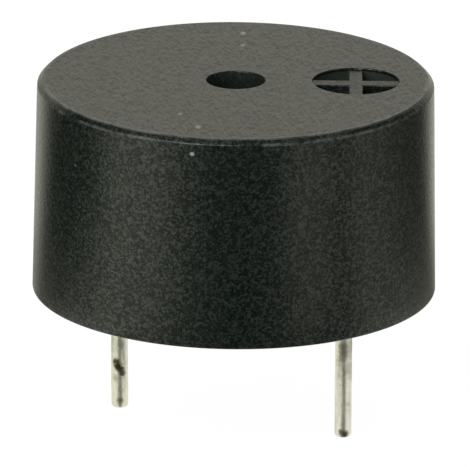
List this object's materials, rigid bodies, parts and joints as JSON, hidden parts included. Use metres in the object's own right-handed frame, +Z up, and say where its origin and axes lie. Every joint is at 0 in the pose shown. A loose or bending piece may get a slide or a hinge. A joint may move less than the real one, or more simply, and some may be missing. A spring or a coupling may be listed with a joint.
{
  "type": "electronic buzzer",
  "caption": "Round black board-mount buzzer with a sound hole and a moulded plus mark in its top, and straight leads of unequal length below.",
  "frame": {"origin": "centre of the case's seating rim, on the case's axis and midway between the leads", "axes": "+Z up through the case to its top, +X towards the plus mark and the positive lead, -Z the way the leads point"},
  "size_m": [0.0138, 0.0138, 0.0128],
  "materials": {
    "case_plastic": "fine matt moulding, very dark grey",
    "plate_brass": "rolled, dull",
    "piezo_ceramic": "fired, matt",
    "silver_film": "fired silver film, satin",
    "sealant": "soft white sealant",
    "board_laminate": "glass-epoxy board, satin",
    "track_copper": "copper foil",
    "tinned_lead": "tinned wire, slightly dull",
    "solder": "bright solder",
    "package_plastic": "moulded epoxy",
    "resistor_ceramic": "glazed black face with tinned ends",
    "wire_sleeve": "thin plastic sleeve",
    "potting_resin": "cast epoxy, smooth"
  },
  "bodies": {
    "root": {"case": "case_plastic", "brass_plate": "plate_brass", "piezo_ceramic": "piezo_ceramic", "main_electrode": "silver_film", "feedback_electrode": "silver_film", "sealant_bead": "sealant", "circuit_board": "board_laminate", "copper_tracks": "track_copper", "positive_pin": "tinned_lead", "negative_pin": "tinned_lead", "positive_pin_solder": "solder", "negative_pin_solder": "solder", "transistor_body": "package_plastic", "transistor_legs": "tinned_lead", "load_resistor": "resistor_ceramic", "bias_resistor": "resistor_ceramic", "feedback_resistor": "resistor_ceramic", "component_solder": "solder", "main_wire": "wire_sleeve", "feedback_wire": "wire_sleeve", "ground_wire": "wire_sleeve", "element_solder": "solder", "board_wire_solder": "solder", "potting_resin": "potting_resin"}
  },
  "joints": []
}
